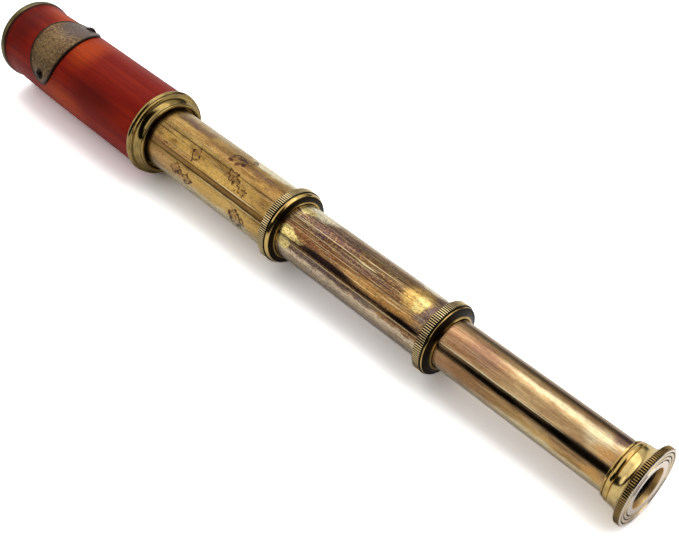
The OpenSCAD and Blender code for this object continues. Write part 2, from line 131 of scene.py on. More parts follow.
def turned(profile, steps=TURN_STEPS):
    """Solid of revolution of a closed outline of [station, radius] points."""
    bm = bmesh.new()
    points = [bm.verts.new((x * MM, 0, r * MM)) for x, r in profile]
    edges = [bm.edges.new((points[i - 1], points[i])) for i in range(len(points))]
    bmesh.ops.spin(bm, geom=points + edges, cent=(0, 0, 0), axis=(1, 0, 0), dvec=(0, 0, 0),
                   angle=2 * pi, steps=steps, use_merge=True)
    bmesh.ops.remove_doubles(bm, verts=bm.verts[:], dist=1e-6)
    bmesh.ops.dissolve_degenerate(bm, dist=1e-7, edges=bm.edges[:])
    bmesh.ops.recalc_face_normals(bm, faces=bm.faces[:])
    return bm


# A tooth is a ridge and a valley, with four points across its pitch
TOOTH_POINTS = 4
KNURL_PITCH = 1.0
KNURL_DEPTH = 0.3
KNURL_BEVEL = 0.45
TIP_TOLERANCE = 0.01


def teeth_on(r):
    """Number of teeth round a band."""
    return round(2 * pi * r / KNURL_PITCH)


def knurled_edge(x0, x1, r):
    """Outline of a knurled band: its bevels, and the line of its tips."""
    return [(x0, r - KNURL_BEVEL), (x0 + KNURL_BEVEL, r), (x1 - KNURL_BEVEL, r),
            (x1, r - KNURL_BEVEL)]


def cut_teeth(bm, r, x0, x1):
    """Sinks half of the points on a band's tips to the valleys between straight teeth, which run
    out through its bevels, and marks both for the finish."""
    hollow = bm.verts.layers.float.new("hollow")
    proud = bm.verts.layers.float.new("proud")
    step = 2 * pi / (TOOTH_POINTS * teeth_on(r))
    for vert in bm.verts:
        x, y, z = vert.co / MM
        if abs(hypot(y, z) - r) > TIP_TOLERANCE or not x0 < x < x1:
            continue
        turn = atan2(y, z) / step
        if round(turn) % TOOTH_POINTS < TOOTH_POINTS // 2:
            vert[proud] = 1
            continue
        outwards = KNURL_DEPTH if x > (x0 + x1) / 2 else -KNURL_DEPTH
        valley = 1 - KNURL_DEPTH / r
        vert.co = Vector((x + outwards, y * valley, z * valley)) * MM
        # Valleys are marked for the finish to darken, as grime and painted shade
        vert[hollow] = 1
    return bm


def turned_with_teeth(profile, r, x0, x1):
    steps = TOOTH_POINTS * teeth_on(r)
    return cut_teeth(turned(profile, steps), r, x0, x1)


def grimed_and_shaded(bm, corners, reach=0.3):
    """Marks the points near some inner corners of an outline, which the finish darkens as grime
    and painted shade.
    """
    hollow = bm.verts.layers.float.get("hollow") or bm.verts.layers.float.new("hollow")
    for vert in bm.verts:
        x, y, z = vert.co / MM
        off = min(hypot(x - corner_x, hypot(y, z) - corner_r) for corner_x, corner_r in corners)
        vert[hollow] = max(vert[hollow], 1 - off / reach)
    return bm


# Finishes

def colour(hex_code):
    """Linear colour of an sRGB hex code."""
    values = [int(hex_code[i:i + 2], 16) / 255 for i in (1, 3, 5)]
    return [v / 12.92 if v <= 0.04045 else ((v + 0.055) / 1.055) ** 2.4 for v in values] + [1]


def add(tree, kind, inputs=None, **settings):
    """Adds a node. An input is named, or counted among those in use; its value is a plain
    value, an output, or a node whose first output in use is meant."""
    made = tree.nodes.new("ShaderNode" + kind)
    for name, value in settings.items():
        setattr(made, name, value)
    for key, value in (inputs or {}).items():
        used = [s for s in made.inputs if s.enabled]
        socket = used[key] if isinstance(key, int) else next(s for s in used if s.name == key)
        if isinstance(value, bpy.types.Node):
            value = next(s for s in value.outputs if s.enabled)
        if isinstance(value, bpy.types.NodeSocket):
            tree.links.new(value, socket)
        else:
            socket.default_value = value
    return made


def begin_finish(name):
    """New material, its tree, and a place on the piece in millimetres."""
    material = bpy.data.materials.new(name)
    material.use_nodes = True
    tree = material.node_tree
    tree.nodes.clear()
    seat = add(tree, "TexCoord").outputs["Object"]
    return material, tree, add(tree, "Mapping", {"Vector": seat, "Scale": (1 / MM,) * 3})


def end_finish(tree, inputs, height=None, depth=0.0):
    """Ends a material; height is a bump from 0 to 1 that stands depth high, in millimetres."""
    if height is not None:
        inputs["Normal"] = add(tree, "Bump", {"Height": height, "Distance": depth * MM})
    add(tree, "OutputMaterial", {"Surface": add(tree, "BsdfPrincipled", inputs)})


def streaks(tree, place, along, across, offset, detail=2.0):
    """Noise in marks of about along by across, in millimetres. Its offset is one that no other
    noise of the material has, so that they don't line up."""
    drawn = add(tree, "Mapping", {"Vector": place, "Location": (offset, offset, offset),
                                  "Scale": (1 / along, 1 / across, 1 / across)})
    return add(tree, "TexNoise", {"Vector": drawn, "Scale": 1.0, "Detail": detail})


def skin(tree, place, wander, wander_turn, size):
    """Station and turn of a place on a round piece. They wander by some millimetres and
    degrees, in waves of a size, so that the marks laid out on them are ragged."""
    axes = add(tree, "SeparateXYZ", {0: place})
    away = add(tree, "Math", {0: axes.outputs["Y"], 1: -1.0}, operation="MULTIPLY")
    turn = add(tree, "Math", {0: away, 1: axes.outputs["Z"]}, operation="ARCTAN2")
    turn = add(tree, "Math", {0: turn}, operation="DEGREES")
    flat = add(tree, "CombineXYZ", {"X": axes.outputs["X"], "Y": turn})
    noise = add(tree, "TexNoise", {"Vector": place, "Scale": 1 / size, "Detail": 4.0})
    push = add(tree, "VectorMath", {0: noise.outputs["Color"], 1: (0.5, 0.5, 0.5)},
               operation="SUBTRACT")
    return add(tree, "VectorMath", {0: push, 1: (2 * wander, 2 * wander_turn, 0), 2: flat},
               operation="MULTIPLY_ADD")


def nearest(tree, flat, ovals):
    """Distance to the nearest of some ovals, 1 on its edge. Each has its station and turn,
    its length in millimetres and its width in degrees."""
    found = None
    for x, turn, length, width in ovals:
        shifted = add(tree, "Mapping", {"Vector": flat, "Location": (x, turn, 0),
                                        "Scale": (length / 2, width / 2, 1)},
                      vector_type="TEXTURE")
        size = add(tree, "VectorMath", {0: shifted}, operation="LENGTH")
        found = add(tree, "Math", {0: found, 1: size}, operation="MINIMUM") if found else size
    return found


def within(tree, value, low, high, share=1.0):
    """Share of a value's way from low to high, eased at both ends, times a whole share."""
    return add(tree, "MapRange", {"Value": value, "From Min": low, "From Max": high,
                                  "To Max": share}, interpolation_type="SMOOTHSTEP")


def spots(tree, flat, ovals, edge, share):
    """Mask of some ovals; edge is how much of their size is soft."""
    return within(tree, nearest(tree, flat, ovals), 1 + edge, 1 - edge, share)


def rims(tree, flat, ovals, width, share):
    """Mask of the dark rims that dried drops leave, just inside their edges."""
    off = add(tree, "Math", {0: nearest(tree, flat, ovals), 1: 0.95}, operation="SUBTRACT")
    off = add(tree, "Math", {0: off}, operation="ABSOLUTE")
    return within(tree, off, width, width / 4, share)


def layered(tree, ground, layers):
    """Colour, or number, of a ground with layers over it, each a mask and what it lays on."""
    kind = "FLOAT" if isinstance(ground, float) else "RGBA"
    for mask, top in layers:
        ground = add(tree, "Mix", {0: mask, 1: ground, 2: top}, data_type=kind)
    return ground


# Brass, an alloy of copper and zinc. Clean it is a pale yellow. Handled and then left alone, its
# skin goes through honey and brown to a purple brown, and to olive under old lacquer.
# Pale yellow of rubbed brass, which also paints highlight lines along the draws
RUBBED_AND_HIGHLIGHT = colour("#EBD9A8")
HONEY = colour("#A8864F")
BROWN = colour("#7B5833")
UMBER = colour("#35241A")
PURPLE = colour("#6B4B4E")
OLIVE = colour("#6E6034")
ROSE = colour("#9C7052")
RUST = colour("#84482A")
GOLD = colour("#D8AE60")
AMBER = colour("#C8924C")
CREAM = colour("#F6EBC4")
STRAW = colour("#E8D084")
SILVERY = colour("#D8C4AA")
GREYED = colour("#AE9C86")
SLATE = colour("#5C5058")
# Near black of the painted dark reflection bands on the draws
DARK_REFLECTION = colour("#1C1216")
FACED = colour("#FCEADC")
# Pale gold painted on the eye cup's recess wall, as light that the lamps don't give it
PAINTED_WALL_LIGHT = colour("#FFDC9C")
DRIED = colour("#3E2016")
# Near black, for grime and for painted shade in hollows, corners and round the plate
GRIME_AND_SHADE = colour("#17110C")
BLACKING = colour("#12100E")


def inner_wall(tree, place, bore):
    """Mask of what lies no farther from the axis than the wall of a bore."""
    across = add(tree, "VectorMath", {0: place, 1: (0, 1, 1)}, operation="MULTIPLY")
    away = add(tree, "VectorMath", {0: across}, operation="LENGTH")
    return within(tree, away, bore + 0.2, bore + 0.1)


def drawn_brass(name, r, clouds, streak, scratched, speckled, rough, marks, lines, drops=()):
    """Tube brass, drawn through a die and slid in and out for years. That gives the eye two
    tones of tarnish in clouds, long soft streaks, specks, fine light and dark scratches along
    the tube, and marks of its own. The real scratches are some hundredths of a millimetre wide,
    and are drawn wider here to show. Its bore is painted matt black, to kill stray light."""
    material, tree, place = begin_finish(name)
    cloud = within(tree, streaks(tree, place, 11, 4.0, 3.1, 5.0), 0.38, 0.62)
    streaked = within(tree, streaks(tree, place, 60, 1.0, 11.7, 3.0), 0.46, 0.68, streak[1])
    bright = within(tree, streaks(tree, place, 26, 0.3, 5.3), 0.56, 0.68, scratched[0])
    dark = within(tree, streaks(tree, place, 20, 0.36, 9.9), 0.56, 0.68, scratched[1])
    light_specks = within(tree, streaks(tree, place, 0.9, 0.32, 15.1), 0.54, 0.7, speckled)
    dark_specks = within(tree, streaks(tree, place, 1.3, 0.42, 21.3), 0.5, 0.66, speckled)
    ragged = skin(tree, place, 2.2, 9.0, 5.0)
    straight = skin(tree, place, 0.4, 0.5, 9.0)
    layers = [(cloud, clouds[1]), (streaked, streak[0])]
    layers += [(spots(tree, ragged, ovals, edge, share), top) for top, share, edge, ovals in marks]
    layers += [(light_specks, GOLD), (dark_specks, UMBER), (bright, RUBBED_AND_HIGHLIGHT), (dark, UMBER)]
    layers += [(spots(tree, straight, ovals, edge, share), top)
               for top, share, edge, ovals in lines]
    if drops:
        crinkled = skin(tree, place, 3.8, 15.0, 2.8)
        knots = within(tree, streaks(tree, place, 1.5, 1.1, 7.7, 4.0), 0.46, 0.6)
        broken = within(tree, streaks(tree, place, 2.2, 2.0, 2.7, 3.0), 0.36, 0.5)
        inner = add(tree, "Math", {0: spots(tree, crinkled, drops, 0.2, 0.75), 1: knots},
                    operation="MULTIPLY")
        rim = add(tree, "Math", {0: rims(tree, crinkled, drops, 0.32, 0.95), 1: broken},
                  operation="MULTIPLY")
        layers += [(spots(tree, crinkled, drops, 0.3, 0.3), BROWN), (inner, BROWN), (rim, DRIED)]
    black = inner_wall(tree, place, r - DRAW_WALL)
    base = layered(tree, clouds[0], layers + [(black, BLACKING)])
    polish = layered(tree, rough, [(cloud, rough + 0.07), (dark, rough + 0.15), (black, 0.7)])
    end_finish(tree, {"Base Color": base, "Metallic": 1.0, "Roughness": polish},
               add(tree, "Math", {0: bright, 1: dark}, operation="SUBTRACT"), 0.008)
    return material


# Marks of each draw. Each has its colour, how much it covers, how soft its edge is, and its
# ovals, as station, turn, length and width. Lines are straight, and drops are dried rain. Some
# marks and most lines, noted below, are painted reflection: bands at a fixed turn along the tube.
FIRST_DROPS = [(174, -4, 8, 22), (178.5, 24, 6, 14), (182.5, 30, 5, 12), (187.5, 40, 6, 9),
               (190, 88, 9, 28), (154.5, 33, 6, 20), (134.5, 50, 3, 6), (146, 76, 6, 22),
               (154, 82, 7, 18), (180, -24, 4, 12)]
FIRST_MARKS = [
    (RUBBED_AND_HIGHLIGHT, 0.5, 0.5, [(148, -44, 62, 36)]),
    (CREAM, 0.95, 0.15, [(191, -48, 34, 56)]),
    (PURPLE, 0.6, 0.5, [(141, -15, 24, 16), (192, -5, 17, 13)]),
    (BROWN, 0.5, 0.5, [(134, 14, 20, 18), (160, -2, 22, 10)]),
    (BROWN, 0.55, 0.4, [(202, 12, 11, 64), (200, 80, 9, 30)]),
    (OLIVE, 0.5, 0.5, [(150, 16, 60, 14)]),
    (GOLD, 0.6, 0.5, [(172, 41, 54, 16)]),
    # Painted reflection: the lower side is made lighter along the tube
    (GOLD, 0.8, 0.3, [(168, 80, 84, 38)]),
    (BROWN, 0.5, 0.5, [(178, 3, 56, 26)]),
    (ROSE, 0.4, 0.5, [(136, 80, 26, 34)]),
    (ROSE, 0.5, 0.5, [(140, 50, 26, 8)]),
    # Painted reflection: the lower side is made lighter along the tube
    (CREAM, 0.75, 0.5, [(170, 110, 96, 34)])]
# Painted reflection bands, partly rub lines: dark lines at turns 20 to 27 and 52 to 60 round a
# brown band, and bright lines at 49.5 and 63.5
FIRST_LINES = [
    (BROWN, 0.55, 0.2, [(166, 56, 96, 10)]),
    (UMBER, 0.8, 0.4, [(152, 19.5, 60, 2.2), (196, 20.5, 30, 1.6), (130, 27, 11, 2),
                       (166, 52, 96, 1.8), (166, 60.3, 96, 2.6)]),
    (RUBBED_AND_HIGHLIGHT, 0.7, 0.4, [(185, 63.5, 50, 1.8), (186, 49.5, 30, 1.4)])]
SECOND_MARKS = [
    (RUBBED_AND_HIGHLIGHT, 0.5, 0.4, [(264, -46, 80, 30)]),
    # Painted reflection, partly wear: the lower side is lighter along the whole tube
    (SILVERY, 0.85, 0.5, [(258, 82, 200, 13)]),
    (GREYED, 0.85, 0.2, [(258, 108, 200, 44)]),
    (SLATE, 0.75, 0.6, [(242, 70, 42, 12), (268, 70, 14, 10), (222, 10, 9, 10),
                        (234, 14, 8, 22), (297, 20, 7, 70)]),
    (RUST, 0.5, 0.5, [(238, 34, 46, 18)]),
    (AMBER, 0.7, 0.5, [(276, 45, 44, 16)]),
    (UMBER, 0.35, 0.5, [(250, -12, 12, 14)]),
    (UMBER, 0.65, 0.4, [(248, 3, 80, 44)]),
    (PURPLE, 0.6, 0.5, [(238, -2, 34, 30), (262, 24, 34, 12)]),
    (CREAM, 0.95, 0.2, [(223, -40, 26, 62), (218, -16, 12, 26), (291, -48, 18, 40)]),
    (GOLD, 0.9, 0.35, [(289, 4, 13, 56)]),
    (STRAW, 0.95, 0.15, [(219, 50, 10, 28), (219, 68, 9, 28), (226, 52, 9, 8), (292, 10, 7, 34),
                         (219, -12, 10, 18)])]
# Painted reflection bands, partly rub lines: a near black band at turns 53 to 58, and thin dark
# and bright lines along the tube
SECOND_LINES = [
    (DARK_REFLECTION, 0.95, 0.35, [(244, 53, 36, 11), (258, 57.5, 92, 3), (290, 58, 20, 9)]),
    (UMBER, 0.7, 0.4, [(226, 26, 24, 2), (258, 14.5, 84, 1.6), (270, 31, 60, 1.6)]),
    (RUBBED_AND_HIGHLIGHT, 0.6, 0.4, [(258, 64, 92, 2), (240, 11, 50, 1), (262, 13, 10, 2)])]
THIRD_MARKS = [
    (ROSE, 0.8, 0.5, [(320, 18, 34, 56)]),
    (PURPLE, 0.35, 0.5, [(326, 16, 16, 40)]),
    # Painted reflection, partly tarnish: darker bands at turns 66 and -18, and a lighter lower
    # side on the next two lines
    (BROWN, 0.55, 0.4, [(350, 66, 110, 9), (362, -18, 64, 16)]),
    (GOLD, 0.6, 0.4, [(350, 90, 110, 30)]),
    (CREAM, 0.6, 0.4, [(350, 103, 110, 32)]),
    (ROSE, 0.8, 0.5, [(320, 84, 40, 36)]),
    (BROWN, 0.6, 0.5, [(334, 80, 44, 20), (322, 36, 24, 8), (376, 84, 16, 12)]),
    # Partly rubbed clean, partly painted highlight where the softbox shows near the eyepiece
    (CREAM, 0.35, 0.4, [(366, 3, 58, 14), (381, 12, 14, 40)]),
    (AMBER, 0.6, 0.4, [(385, 32, 9, 24), (384, 76, 10, 20)]),
    (PURPLE, 0.7, 0.4, [(387, -20, 6, 50)])]
# Painted reflection bands, partly tarnish: the near black band at turns 53 to 56, the dark band
# along the top near turn -28, and the thin bright line at 46
THIRD_LINES = [
    (DARK_REFLECTION, 0.85, 0.4, [(350, 55.5, 92, 8), (378, 53, 40, 20)]),
    (UMBER, 0.6, 0.5, [(318, -27, 36, 12), (350, -29, 92, 10)]),
    (CREAM, 0.8, 0.4, [(336, 46, 60, 1.8)])]

drawn_brasses = [
    drawn_brass("drawn_brass_stained", DRAW_R[0], clouds=(colour("#7E5C2A"), colour("#B8924A")),
                streak=(BROWN, 0.5), scratched=(0.25, 0.4), speckled=0.45, rough=0.3,
                marks=FIRST_MARKS, lines=FIRST_LINES, drops=FIRST_DROPS),
    drawn_brass("drawn_brass_scratched", DRAW_R[1],
                clouds=(colour("#8E6640"), colour("#6E4C38")), streak=(UMBER, 0.4),
                scratched=(0.55, 0.65), speckled=0.7, rough=0.22, marks=SECOND_MARKS,
                lines=SECOND_LINES),
    drawn_brass("drawn_brass_warm", DRAW_R[2], clouds=(colour("#B89A6E"), colour("#A2805A")),
                streak=(BROWN, 0.3), scratched=(0.3, 0.35), speckled=0.25, rough=0.15,
                marks=THIRD_MARKS, lines=THIRD_LINES)]


def turned_brass(name, clean, aged, share, rough, tips=CREAM, face=None, recess=None):
    """Brass turned on a lathe and polished, which shows fine rings round the axis. The hollows
    between teeth, in grooves and at inner corners are darkened almost black, as grime and as
    painted shade, and hands keep what stands proud bright. An eye cup has a paler face, and a
    recess with a blacked bottom, whose wall is painted bright as painted light."""
    material, tree, place = begin_finish(name)
    cloud = within(tree, streaks(tree, place, 2.5, 6, 2.2, 4.0), 0.38, 0.66, share)
    ring = streaks(tree, place, 0.25, 60, 4.4)
    hollow = add(tree, "Attribute", attribute_name="hollow").outputs["Fac"]
    proud = add(tree, "Attribute", attribute_name="proud").outputs["Fac"]
    layers = [(cloud, aged), (within(tree, ring, 0.55, 0.75, 0.35), RUBBED_AND_HIGHLIGHT)]
    polished = [(cloud, rough + 0.1), (hollow, 0.6)]
    if face:
        station_x = add(tree, "SeparateXYZ", {0: place}).outputs["X"]
        wall = inner_wall(tree, place, recess)
        black = inner_wall(tree, place, recess - 0.25)
        layers += [(within(tree, station_x, face - 0.15, face - 0.05, 0.9), FACED),
                   # Painted light: the recess wall is made bright where the lamps leave it dim
                   (wall, PAINTED_WALL_LIGHT), (black, BLACKING)]
        polished += [(wall, 0.45), (black, 0.7)]
    layers += [(within(tree, proud, 0.5, 0.95, 0.9), tips),
               # Hollows go almost black: grime, and painted shade in valleys, grooves and corners
               (within(tree, hollow, 0.03, 0.32, 0.98), GRIME_AND_SHADE)]
    end_finish(tree, {"Base Color": layered(tree, clean, layers), "Metallic": 1.0,
                      "Roughness": layered(tree, rough, polished)}, ring, 0.004)
    return material


ferrule_brass = turned_brass("turned_brass_olive", colour("#9C8248"), colour("#5E4E30"),
                             share=0.5, rough=0.12)
rim_brass = turned_brass("turned_brass_dark", colour("#645A36"), UMBER, share=0.6, rough=0.3)
collar_brass = turned_brass("knurled_brass", colour("#D0B068"), BROWN, share=0.5, rough=0.12,
                            tips=colour("#E8D09A"))
bush_brass = turned_brass("turned_brass_plain", HONEY, BROWN, share=0.4, rough=0.3)


def plate_brass():
    """Rolled brass sheet that has gone brown and blotched outdoors, rubbed on its crown, with its
    raised line and its edge darkened almost black, as grime and painted shade."""
    material, tree, place = begin_finish("rolled_brass_weathered")
    ragged = skin(tree, place, 2.0, 8.0, 3.0)
    blotch = within(tree, streaks(tree, place, 1.7, 1.3, 1.5, 5.0), 0.4, 0.64)
    fine = within(tree, streaks(tree, place, 1.3, 0.8, 8.5, 3.0), 0.48, 0.68, 0.6)
    flecks = within(tree, streaks(tree, place, 1.2, 0.7, 12.5, 3.0), 0.56, 0.7, 0.8)
    lilac = spots(tree, ragged, [(PLATE_X + 1, -24, 20, 60)], 0.4, 0.75)
    worn = spots(tree, ragged, [(PLATE_X - 1, 34, 14, 50)], 0.6, 0.35)
    hollow = add(tree, "Attribute", attribute_name="hollow").outputs["Fac"]
    base = layered(tree, colour("#563F2A"), [
        (blotch, colour("#7A6040")), (worn, colour("#947A50")), (lilac, colour("#685854")),
        (flecks, colour("#A08A60")), (fine, UMBER),
        # Grime and painted shade along the plate's edge and raised line
        (within(tree, hollow, 0.1, 0.9, 0.9), GRIME_AND_SHADE)])
    polish = layered(tree, 0.34, [(blotch, 0.44), (fine, 0.6)])
    end_finish(tree, {"Base Color": base, "Metallic": 1.0, "Roughness": polish}, fine, 0.03)
    return material


def screw_brass():
    """Brass screws that were blacked with the plate's fittings, so only a soft grey gleam."""
    material, tree, place = begin_finish("blackened_screw_brass")
    worn = within(tree, streaks(tree, place, 1.0, 1.0, 6.0, 4.0), 0.5, 0.75, 0.5)
    base = layered(tree, colour("#211C18"), [(worn, colour("#4E4334"))])
    end_finish(tree, {"Base Color": base, "Metallic": 1.0, "Roughness": 0.38}, worn, 0.02)
    return material


def blackened_brass_paint():
    """Matt black paint on brass, rubbed thin on the edges of threads."""
    material, tree, place = begin_finish("blackened_brass")
    thin = within(tree, streaks(tree, place, 1.5, 1.5, 2.0, 4.0), 0.55, 0.8, 0.35)
    base = layered(tree, BLACKING, [(thin, colour("#3A2F20"))])
    end_finish(tree, {"Base Color": base, "Roughness": 0.65}, thin, 0.01)
    return material


def barrel_tube_brass():
    """Drawn brass tube under the wood, plain outside and blacked inside."""
    material, tree, place = begin_finish("drawn_brass_plain")
    cloud = within(tree, streaks(tree, place, 20, 6, 1.0, 4.0), 0.4, 0.65)
    black = inner_wall(tree, place, TUBE_IN)
    base = layered(tree, HONEY, [(cloud, BROWN), (black, BLACKING)])
    polish = layered(tree, 0.3, [(cloud, 0.38), (black, 0.7)])
    end_finish(tree, {"Base Color": base, "Metallic": 1.0, "Roughness": polish})
    return material


def stained_hardwood():
    """Hardwood turned along its grain, stained red and finished with thin satin lacquer: long
    orange and dark bands, fine dark grain lines, short pores, and stain that took unevenly. The
    lines are drawn wider than real ones, which are a tenth of a millimetre, to show."""
    material, tree, place = begin_finish("hardwood_stained_red")
    ragged = skin(tree, place, 5.0, 9.0, 16.0)
    calm = skin(tree, place, 1.0, 2.5, 30.0)
    station_x = add(tree, "SeparateXYZ", {0: place}).outputs["X"]
    bands = within(tree, streaks(tree, place, 85, 3.2, 4.0, 4.0), 0.36, 0.66)
    lines = within(tree, streaks(tree, place, 34, 0.42, 7.0, 3.0), 0.46, 0.68, 0.5)
    pores = within(tree, streaks(tree, place, 3.4, 0.3, 2.0), 0.6, 0.74, 0.35)
    red, orange, deep = colour("#821202"), colour("#C04608"), colour("#440401")
    base = layered(tree, red, [
        (bands, colour("#941E02")),
        (spots(tree, ragged, [(58, 0, 18, 60), (57, 92, 36, 36), (22, -26, 24, 36)], 0.7, 0.75),
         orange),
        (spots(tree, ragged, [(11, 26, 18, 70), (82, 54, 34, 28)], 0.8, 0.65), deep),
        (spots(tree, calm, [(82, 23, 40, 2.4)], 0.7, 0.4), deep),
        (lines, colour("#600A04")), (pores, deep),
        # Painted shade: a dark ring on the wood round the plate
        (spots(tree, calm, [(PLATE_X, PLATE_TURN, 2 * PLATE_HALF_WIDTH + 1.6,
                             2 * PLATE_HALF_ANGLE + 5)], 0.03, 0.85), GRIME_AND_SHADE),
        # The wood is darker next to the rim
        (within(tree, station_x, WOOD_START + 2.2, WOOD_START + 1.0, 0.8), GRIME_AND_SHADE)])
    polish = layered(tree, 0.4, [(lines, 0.5), (pores, 0.6)])
    height = add(tree, "Math", {0: lines, 1: pores}, operation="ADD")
    end_finish(tree, {"Base Color": base, "Roughness": polish, "Specular IOR Level": 0.05},
               add(tree, "Math", {0: height, 1: -1.0}, operation="MULTIPLY"), 0.02)
    return material


def polished_glass():
    """Optical glass, ground and polished."""
    material, tree, _ = begin_finish("optical_glass")
    end_finish(tree, {"Base Color": colour("#F4FBF8"), "Roughness": 0.0, "IOR": 1.52,
                      "Transmission Weight": 1.0})
    return material


lens_glass = polished_glass()


# Barrel: the wood sleeve

FLARE_R = radius("wood_sleeve")
FLARE_RISE = 0.75
FLARE_LENGTH = 6.5
FLARE_PROUD = 0.15
SWELL_LENGTH = 41
WOOD_R = FLARE_R - FLARE_PROUD
WAIST_R = FLARE_R - FLARE_RISE


def swell_r(x):
    """Radius of the wood where it swells from its waist to its full size."""
    share = (x - WOOD_START - FLARE_LENGTH) / (SWELL_LENGTH - FLARE_LENGTH)
    return WAIST_R + (WOOD_R - WAIST_R) * min(1, max(0, share))


def wood_sleeve():
    flare = [(WOOD_START + FLARE_LENGTH * i / ARC_STEPS,
              WAIST_R + FLARE_RISE * (1 - i / ARC_STEPS) ** 2) for i in range(ARC_STEPS + 1)]
    bore = TUBE_R + SEAT_GAP
    outline = flare + [(WOOD_START + SWELL_LENGTH, WOOD_R), (WOOD_END, WOOD_R),
                       (WOOD_END, bore), (WOOD_START, bore)]
    finished("wood_sleeve_turned", turned(outline), "barrel", "stained_wood", stained_hardwood(),
             "wood_sleeve")


# Barrel: the rim round the front lens

RIM_R = radius("objective_bezel")
RIM_FACE = 3.6
RIM_WIDTH = WOOD_START
RIM_BAND = 2.4
CELL_SPACE = 1.7
CELL_LIP = 0.6
CELL_LIP_DEPTH = 0.7
LENS_R = TUBE_IN - CELL_SPACE


def objective_bezel():
    mouth = RIM_R - RIM_FACE
    edge = RIM_WIDTH - RIM_BAND
    spigot_end = station("objective_bezel")[1]
    spigot, cell = TUBE_IN - SEAT_GAP, LENS_R + SEAT_GAP
    lip, lip_end = LENS_R - CELL_LIP, RIM_WIDTH + CELL_LIP_DEPTH
    soft = 0.2
    outline = (
        arc(soft, mouth + soft, soft, 270, 180, 4) + arc(soft, RIM_R - soft, soft, 180, 90, 4)
        + arc(RIM_BAND, RIM_R - edge, edge, 90, 0)
        + [(RIM_WIDTH, spigot), (spigot_end, spigot), (spigot_end, cell), (lip_end, cell),
           (lip_end, lip), (RIM_WIDTH, lip), (RIM_WIDTH, mouth)])
    finished("objective_bezel_turned", turned(outline), "barrel", "dark_brass", rim_brass,
             "objective_bezel")


# Barrel: the front lens, smoother than its node, with the same ground faces and edge

CROWN_CURVE = 115
CROWN_EDGE = 2.2
CROWN_STEPS = 24


def dome(curve, edge_r, r):
    """Height of a ground face above its edge, at a radius on it."""
    return sqrt(curve ** 2 - r ** 2) - sqrt(curve ** 2 - edge_r ** 2)


def crown_lens():
    x = RIM_WIDTH + CELL_LIP_DEPTH + dome(CROWN_CURVE, LENS_R, LENS_R - CELL_LIP)
    radii = [LENS_R * i / CROWN_STEPS for i in range(CROWN_STEPS + 1)]
    front = [(x - dome(CROWN_CURVE, LENS_R, r), r) for r in radii]
    back = [(x + CROWN_EDGE + dome(CROWN_CURVE, LENS_R, r), r) for r in reversed(radii)]
    finished("crown_lens_ground", turned(front + back), "barrel", "optical_glass", lens_glass,
             "crown_lens")


# Barrel: the ogee ferrule that the first draw comes out of

FERRULE_START = station("barrel_ferrule")[0]
FERRULE_R = radius("barrel_ferrule")
FERRULE_BEAD = 1.3
BEAD_GAP = 0.1
RIDGE_DROP = 0.7
RIDGE_WIDTH = 1.1
COVE_DROP = 0.4
COVE_STEP = 0.2
LIP_BEAD = 0.7
LIP_TURN = 50
LIP_HEIGHT = 1.9
TUBE_END_COVER = 0.5
FERRULE_MOUTH = TUBE_IN - TUBE_END_COVER
FERRULE_LIP = FERRULE_MOUTH + LIP_HEIGHT
FERRULE_SHOULDER = station("main_tube")[1]


def barrel_ferrule():
    bead_x, bead_r = FERRULE_START + FERRULE_BEAD, FERRULE_R - FERRULE_BEAD
    ridge_x, ridge_r = bead_x + FERRULE_BEAD + BEAD_GAP, FERRULE_R - RIDGE_DROP
    cove_x, cove_r = ridge_x + RIDGE_WIDTH, FERRULE_LIP - COVE_DROP
    cove_height = ridge_r - COVE_STEP - cove_r
    lip_x = BARREL_END - 2 * LIP_BEAD
    mouth_x = BARREL_END - LIP_BEAD * (1 - cos(radians(LIP_TURN)))
    soft, chamfer = 0.15, 0.2
    bore = TUBE_R + SEAT_GAP
    foot = (ridge_x, bead_r + 0.2)
    outline = (
        [(FERRULE_START, bead_r + 0.3)] + arc(bead_x, bead_r, FERRULE_BEAD, 165, 12, 24) + [foot]
        + arc(ridge_x + soft, ridge_r - soft, soft, 180, 90, 4)
        + arc(cove_x - soft, ridge_r - soft, soft, 90, 30, 4)
        + [(cove_x + (lip_x - cove_x) * (1 - cos(a)), cove_r + cove_height * (1 - sin(a)))
           for a in sweep(0, 90, 15)[1:]]
        + arc(BARREL_END - LIP_BEAD, FERRULE_LIP - LIP_BEAD, LIP_BEAD, 140, -LIP_TURN, 18)
        + [(mouth_x, FERRULE_MOUTH + chamfer), (mouth_x - chamfer, FERRULE_MOUTH),
           (FERRULE_SHOULDER, FERRULE_MOUTH), (FERRULE_SHOULDER, bore), (FERRULE_START, bore)])
    # The foot of the bead, the cove and the mouth are darkened: grime and painted shade
    bm = grimed_and_shaded(turned(outline), [foot, (lip_x, cove_r), (mouth_x, FERRULE_MOUTH + chamfer)])
    finished("barrel_ferrule_turned", bm, "barrel", "ferrule_brass", ferrule_brass,
             "barrel_ferrule")


# Barrel: the oval plate bent round the wood, with a raised line along its edge

# Height of the plate's edge above the wood, and depth of its underside in it
PLATE_EDGE = PLATE_THICK - 0.1
PLATE_SUNK = 0.2

PLATE_ROWS = 45
PLATE_COLUMNS = 6
OVAL_STEPS = 80

# Steps in from the edge of the plate, each with its width, its rise and how dark the finish makes
# it, as grime and painted shade
PLATE_STEPS = ((0.15, 0.12, 0.9), (0.6, 0, 0.9), (0.22, 0.14, 0.3), (0.22, -0.14, 0.9),
               (0.35, -0.05, 0))


